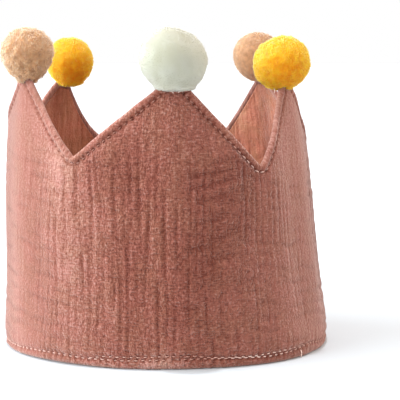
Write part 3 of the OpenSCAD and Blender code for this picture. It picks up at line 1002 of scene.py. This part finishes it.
pompoms = {
    # point: which point of the band it is tied to; middle: height of its middle, inward of the wall
    # size: width, depth and height; egg: how much wider it is at the top
    # pressed: towards which angle and rise it is pressed in, and how far
    # foot: half width and depth of the yarn round the tip; dyed: a darker tone all over, and painted shade on
    # the side away from the key light (less than nothing paints light there)
    # count, length, curl, curlSize and uneven are of the yarn ends, lumps and lumpSize of the form below
    "pompom_back_left": {
        "slot": "yarn_yellow", "point": 0, "middle": 131.8, "inward": 4.3, "size": (23.4, 23.6, 23.8),
        "egg": 0.04, "pressed": [[-150, 40, 1.0]], "foot": (6.2, 10.9), "dyed": (0, 1), "scatter": 5.0,
        "count": 5500, "length": 0.7, "curl": 0.8, "curlSize": 3.0, "uneven": 0.5, "lumps": 0.5,
        "lumpSize": 4.0},
    "pompom_left": {
        "slot": "yarn_tan", "point": 1, "middle": 134.8, "inward": 1.4, "size": (23.0, 23.4, 24.2),
        "egg": 0.12, "pressed": [[40, -35, 0.4]], "foot": (4, 11.3), "dyed": (0, 1), "scatter": 3.0,
        "count": 7000, "length": 0.75, "curl": 1.8, "curlSize": 1.8, "uneven": 1.0, "lumps": 0.9,
        "lumpSize": 2.2},
    "pompom_front": {
        "slot": "yarn_cream", "point": 2, "middle": 132.9, "inward": 0.0, "size": (29.2, 29.0, 28.4),
        "egg": 0.02, "foot": (8.4, 12.4), "dyed": (0, 1), "scatter": 12.0,
        "pressed": [[62, 48, 2.0], [90, 5, 0.5], [-90, 0, -0.5], [-66, 50, -0.7], [0, 90, 0.5],
                    [0, -90, 1.6]],
        "count": 4500, "length": 0.45, "curl": 0.6, "curlSize": 3.4, "uneven": 0.4, "lumps": 0.4,
        "lumpSize": 4.4},
    "pompom_right": {
        "slot": "yarn_yellow", "point": 3, "middle": 131.6, "inward": 1.4, "size": (25.2, 25.0, 23.6),
        "egg": 0.03, "foot": (3, 10), "dyed": (0, 1), "scatter": 5.0,
        "pressed": [[-60, 40, 1.2], [80, -45, -0.4], [-75, -55, -0.8]],
        "count": 7000, "length": 0.7, "curl": 1.0, "curlSize": 2.4, "uneven": 0.7, "lumps": 0.8,
        "lumpSize": 3.0},
    "pompom_back_right": {
        "slot": "yarn_tan", "point": 4, "middle": 134.3, "inward": 3.9, "size": (24.0, 23.6, 24.0),
        "egg": 0.05, "pressed": [[150, 30, 0.8]], "foot": (3, 10), "dyed": (2.1, -1.9), "scatter": 8.0,
        "count": 5500, "length": 0.45, "curl": 0.5, "curlSize": 2.0, "uneven": 0.2, "lumps": 0.2,
        "lumpSize": 3.0},
}
pompomForm = {
    "paintedShadeSide": (0.36, -0.64, -0.68),  # the side of each pompom that gets the most painted shade, low and away from the key light
    "paintedShadeNarrow": 1.5,     # the higher, the narrower that side is
    "pressedNarrow": 4,    # and the narrower each pressed place
    "footSharp": 10,       # the higher, the sharper the bend where the foot starts
}
slot = {
    "thick": 2.3,          # both layers of the cloth's tip
    "width": 3.5,
    "above": 0.4,          # clearance over the tip
    "bare": 0.2,           # no yarn ends this near to the slot
}
yarnEnd = {
    "rooted": 0.45,        # share of an end that stays inside the pompom's own form
    "thick": 0.26,
    "sides": 3,
    "rings": ((-0.1, 0.85), (0.6, 1.0)),       # height and width of each, as shares
    "tip": (0.1, 0, 1),                # it leans a little
    "smallest": (0.8, 0.8, 0.6),       # thickness both ways and length, as shares
    "largest": (1.15, 1.15, 1.4),
    "stray": 0.5,          # how far an end leans by itself
    "scatter": 0.6,        # how far light travels in it
    "seed": 21,
}


def pompomReach(p, way):
    # how far the pompom reaches in each direction: an egg, pressed in here and there, on a foot
    wide, deep, high = p["size"]
    egg = 1 + p["egg"] * way[:, 2]
    reach = 1 / np.linalg.norm(way * 2 / np.stack([wide * egg, deep * egg, high + 0 * egg], -1), axis=1)
    for towards, rise, amount in p["pressed"]:
        near = np.clip(way @ direction(towards, rise), 0, 1) ** pompomForm["pressedNarrow"]
        reach = reach - amount * near
    footWide, footDeep = p["foot"]
    least = 0.001          # keeps both divisions clear of zero
    level, down = np.hypot(way[:, 0], way[:, 1]), -way[:, 2]
    foot = np.minimum(footWide / np.maximum(level, least), footDeep / np.maximum(down, least))
    sharp = pompomForm["footSharp"]
    return np.where(way[:, 2] < 0, (reach ** sharp + foot ** sharp) ** (1 / sharp), reach)


def pompomMiddle(p):
    tipAngle, tip = band["points"][p["point"]][:2]
    at = wallPoint(np.array(float(tipAngle)), np.array(float(tip)))[0] * [1, 1, 0]
    return at * (1 - p["inward"] / np.linalg.norm(at)) + [0, 0, p["middle"]]


def makeHead(name, p):
    # the bound middle of the pompom, which the yarn ends stand out of, with a slot for the cloth's tip
    shape = bmesh.new()
    bmesh.ops.create_icosphere(shape, subdivisions=5, radius=1)
    mesh = bpy.data.meshes.new(name)
    shape.to_mesh(mesh)
    shape.free()
    way = np.array([v.co for v in mesh.vertices])
    way = way / np.linalg.norm(way, axis=1, keepdims=True)
    lumps = np.array([noise.noise(Vector(w) * p["size"][0] / 2 / p["lumpSize"]) for w in way])
    reach = pompomReach(p, way) - yarnEnd["rooted"] * p["length"] + p["lumps"] * lumps
    points = pompomMiddle(p) + way * reach[:, None]
    tipAngle, cutHeight = (band["points"][p["point"]][i] for i in (0, 4))
    tip, out = wallPoint(np.array(float(tipAngle)), np.array(float(cutHeight)))
    fromSlot = np.abs((points - tip) @ out + slot["thick"] / 2) - slot["width"] / 2
    across = (points - tip) @ np.array([-out[1], out[0], 0])
    roof = topHeight(turned(tipAngle + np.degrees(across / np.hypot(*tip[:2])))) + slot["above"]
    inSlot = (fromSlot < 0) & (points[:, 2] < roof)
    points[inSlot, 2] = roof[inSlot]
    mesh.vertices.foreach_set("co", (points * mm).ravel())
    # a darker tone all over, and painted shade on one side
    evenly, onShadedSide = p["dyed"]
    deep = np.clip(way @ pompomForm["paintedShadeSide"], 0, 1) ** pompomForm["paintedShadeNarrow"]
    for key, values in (
            ("alongYarn", 0.5), ("yarnTint", 0.5), ("scatter", p["scatter"] * mm),
            ("rooted", (fromSlot > slot["bare"]) | (points[:, 2] > roof + slot["bare"])),
            ("toneAndPaintedShade", evenly + onShadedSide * deep)):
        setPointValues(mesh, key, values)
    mesh.polygons.foreach_set("use_smooth", [True] * len(mesh.polygons))
    mesh.update()
    return newObject(name, mesh)


def makeYarnEnd():
    # one cut end, a millimetre long before it is sized: a thin tuft that tapers to its tip
    n, radius = yarnEnd["sides"], yarnEnd["thick"] / 2
    verts = [(radius * width * math.cos(a), radius * width * math.sin(a), up)
             for up, width in yarnEnd["rings"] for a in circleSteps(n)]
    verts.append(yarnEnd["tip"])
    faces = [tuple(range(n))[::-1]]
    faces += [(i, (i + 1) % n, n + (i + 1) % n, n + i) for i in range(n)]
    faces += [(n + i, n + (i + 1) % n, 2 * n) for i in range(n)]
    mesh = newMesh("yarn_end", verts, faces)
    setPointValues(mesh, "alongYarn", [max(0, up) for x, y, up in verts])
    setPointValues(mesh, "scatter", yarnEnd["scatter"] * mm)
    return newObject("yarn_end", mesh)


def pompomTree():
    # yarn ends all over a head: each strays a little, and neighbours lean together in curls
    tree, given = newNodeTree("pompom", {
        "Yarn end": "Object", "Ends per area": "Float", "Stray": "Float", "Curl lean": "Float",
        "Curl size": "Float", "Length": "Float", "Uneven": "Float", "Seed": "Int", "Yarn": "Material"})
    rooted = addNode(tree, "GeometryNodeInputNamedAttribute", {"Name": "rooted"}, data_type="FLOAT")
    dense = addNode(tree, "ShaderNodeMath", {0: given["Ends per area"], 1: rooted}, operation="MULTIPLY")
    spread = addNode(tree, "GeometryNodeDistributePointsOnFaces", {
        "Mesh": given["Geometry"], "Density": dense, "Seed": given["Seed"]})
    end = addNode(tree, "GeometryNodeObjectInfo", {"Object": given["Yarn end"]})
    place = addNode(tree, "GeometryNodeInputPosition")
    scale = addNode(tree, "ShaderNodeMath", {0: 1.0, 1: given["Curl size"]}, operation="DIVIDE")
    curls = addNode(tree, "ShaderNodeTexNoise", {"Vector": place, "Scale": scale, "Detail": 1.0})
    centred = addNode(tree, "ShaderNodeVectorMath", {0: curls.outputs["Color"], 1: (0.5, 0.5, 0.5)},
                      operation="SUBTRACT")
    curled = addNode(tree, "ShaderNodeVectorMath", {0: centred, "Scale": given["Curl lean"]},
                     operation="SCALE")
    astray = addNode(tree, "FunctionNodeRandomValue", {
        0: (-1, -1, -1), 1: (1, 1, 1), "Seed": given["Seed"]}, data_type="FLOAT_VECTOR")
    strayed = addNode(tree, "ShaderNodeVectorMath", {0: astray, "Scale": given["Stray"]},
                      operation="SCALE")
    leant = addNode(tree, "ShaderNodeVectorMath", {0: curled, 1: strayed}, operation="ADD")
    way = addNode(tree, "ShaderNodeVectorMath", {0: spread.outputs["Normal"], 1: leant}, operation="ADD")
    upright = addNode(tree, "FunctionNodeAlignRotationToVector", {"Vector": way}, axis="Z")
    spun = turnAtRandom(tree, upright, (0, 0, math.pi), given["Seed"])
    size = addNode(tree, "FunctionNodeRandomValue", {
        0: yarnEnd["smallest"], 1: yarnEnd["largest"], "Seed": given["Seed"]}, data_type="FLOAT_VECTOR")
    lump = addNode(tree, "ShaderNodeMath", {0: curls.outputs["Fac"], 1: 0.5}, operation="SUBTRACT")
    longer = addNode(tree, "ShaderNodeMath", {0: lump, 1: given["Uneven"], 2: 1.0},
                     operation="MULTIPLY_ADD")
    length = addNode(tree, "ShaderNodeMath", {0: longer, 1: given["Length"]}, operation="MULTIPLY")
    stretch = addNode(tree, "ShaderNodeCombineXYZ", {0: 1.0, 1: 1.0, 2: length})
    sized = addNode(tree, "ShaderNodeVectorMath", {0: size, 1: stretch}, operation="MULTIPLY")
    placed = addNode(tree, "GeometryNodeInstanceOnPoints", {
        "Points": spread, "Instance": end.outputs["Geometry"], "Rotation": spun, "Scale": sized})
    tint = addNode(tree, "FunctionNodeRandomValue", {"Seed": given["Seed"]}, data_type="FLOAT")
    tinted = addNode(tree, "GeometryNodeStoreNamedAttribute", {
        "Geometry": placed, "Name": "yarnTint", "Value": tint.outputs[1]},
        data_type="FLOAT", domain="INSTANCE")
    real = addNode(tree, "GeometryNodeRealizeInstances", {"Geometry": tinted})
    joined = addNode(tree, "GeometryNodeJoinGeometry", {0: given["Geometry"]})
    tree.links.new(real.outputs[0], joined.inputs[0])
    dyed = addNode(tree, "GeometryNodeSetMaterial", {"Geometry": joined, "Material": given["Yarn"]})
    addNode(tree, "NodeGroupOutput", {"Geometry": dyed})
    return tree


yarnEndShape = makeYarnEnd()
pompomNodes = pompomTree()
pompomPieces = {}
for number, (name, p) in enumerate(pompoms.items()):
    head = makeHead(name + "_yarn", p)
    area = sum(f.area for f in head.data.polygons)
    pompomPieces[name] = runNodes(head, pompomNodes, {
        "Yarn end": yarnEndShape, "Ends per area": p["count"] / area, "Stray": yarnEnd["stray"],
        "Curl lean": p["curl"], "Curl size": p["curlSize"] * mm, "Length": p["length"],
        "Uneven": p["uneven"], "Seed": yarnEnd["seed"] + number, "Yarn": yarns[p["slot"]]})
bpy.data.objects.remove(yarnEndShape)
print("pompoms made", [len(o.data.polygons) for o in pompomPieces.values()])


# What each piece rides on, stands for and takes its finish from

for piece, material in ((outerCloth, outerGauze), (liningCloth, liningGauze)):
    piece.data.materials.append(material)
for piece in (outerCloth, liningCloth, *stitchRows, *pompomPieces.values()):
    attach(piece, "root")
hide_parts("outer_band")
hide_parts("lining")
for name, piece in pompomPieces.items():
    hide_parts(name)
print("pieces tied to the frame")


# Floor and light

studio = {
    "floorReach": 30000,
    "floor": "#CAD1D5",
    "world": 1.02,
    "worldColour": "#FFF7F2",
    "key": {"strength": 7.7, "from": -80, "rise": 11, "soft": 80, "colour": "#ECF8FF"},
    "fill": {"strength": 1.05, "from": 116, "rise": 28, "soft": 60, "colour": "#FFEEE0"},
    "top": {"strength": 1.5, "from": -60, "rise": 86.5, "soft": 2, "colour": "#F8FAFF"},
}


def makeFloor():
    r = studio["floorReach"]
    mesh = newMesh("floor", [(-r, -r, 0), (r, -r, 0), (r, r, 0), (-r, r, 0)], [(0, 1, 2, 3)])
    material, tree = newMaterial("studio_floor_white")   # painted board, matt
    shader = addNode(tree, "ShaderNodeBsdfPrincipled", {
        "Base Color": linearColour(studio["floor"]), "Roughness": 0.8, "Specular IOR Level": 0.1})
    addNode(tree, "ShaderNodeOutputMaterial", {"Surface": shader})
    mesh.materials.append(material)
    newObject("floor", mesh)


def makeSun(name):
    s = studio[name]
    data = bpy.data.lights.new(name, "SUN")
    data.energy = s["strength"]
    data.angle = math.radians(s["soft"])
    data.color = linearColour(s["colour"])[:3]
    way = Vector(direction(s["from"], s["rise"]))
    newObject(name, data).rotation_euler = way.to_track_quat("Z", "Y").to_euler()


def makeWorld():
    # even light from a white room, with a plain white backdrop behind
    world = bpy.data.worlds.new("studio")
    world.use_nodes = True
    tree = world.node_tree
    tree.nodes.clear()
    lit = addNode(tree, "ShaderNodeBackground", {
        "Color": linearColour(studio["worldColour"]), "Strength": studio["world"]})
    seen = addNode(tree, "ShaderNodeBackground", {"Color": (1, 1, 1, 1), "Strength": 1.0})
    ray = addNode(tree, "ShaderNodeLightPath")
    mixed = addNode(tree, "ShaderNodeMixShader", {0: ray.outputs["Is Camera Ray"], 1: lit, 2: seen})
    addNode(tree, "ShaderNodeOutputWorld", {"Surface": mixed})
    bpy.context.scene.world = world


makeFloor()
for name in ("key", "fill", "top"):
    makeSun(name)
makeWorld()
bpy.context.scene.view_settings.view_transform = "Standard"
print("studio lit")
